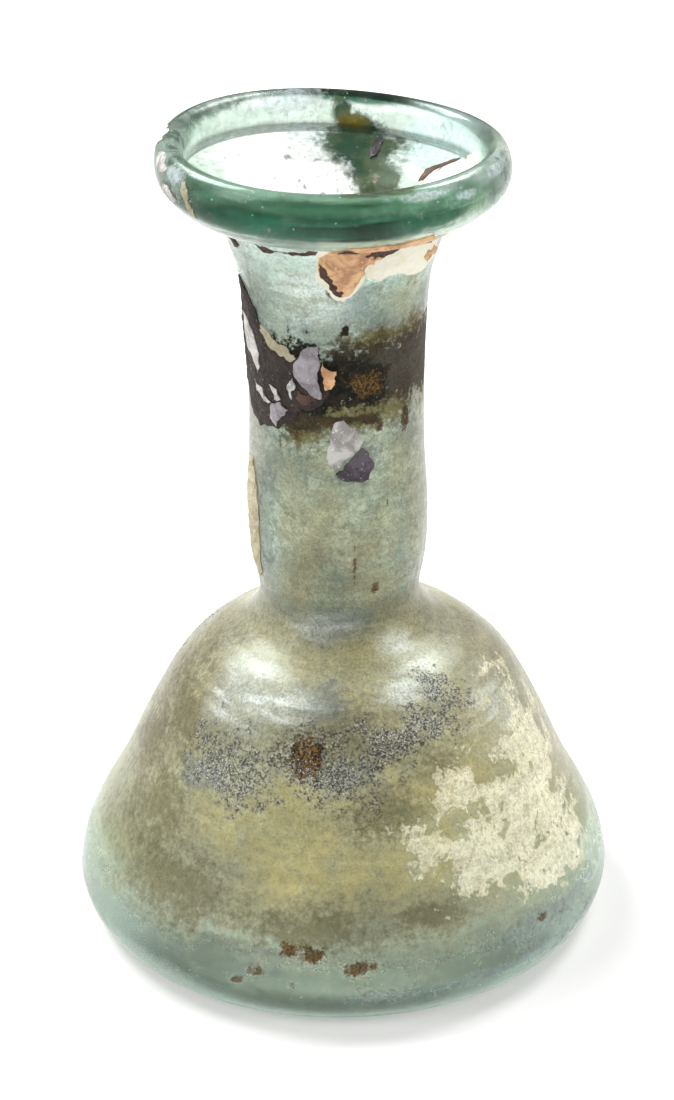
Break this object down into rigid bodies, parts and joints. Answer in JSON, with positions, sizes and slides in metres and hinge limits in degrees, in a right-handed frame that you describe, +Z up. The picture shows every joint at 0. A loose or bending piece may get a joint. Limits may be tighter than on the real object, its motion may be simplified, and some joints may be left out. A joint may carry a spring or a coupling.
{
  "type": "glass perfume flask",
  "caption": "Ancient blown glass flask for perfumed oil, with a bell-shaped body, a tall neck and a trumpet mouth with a thick rolled rim; weathered aqua-green.",
  "frame": {"origin": "middle of the foot, on the surface the flask stands on", "axes": "+Z up along the neck, towards the mouth; the rim hangs lowest on the +X side; -Y is the side seen in the picture"},
  "size_m": [0.072, 0.072, 0.1088],
  "materials": {
    "glass": "pale aqua-green glass, dulled by a silvery and rust-speckled weathering film"
  },
  "bodies": {
    "root": {"flask": "glass"}
  },
  "joints": []
}
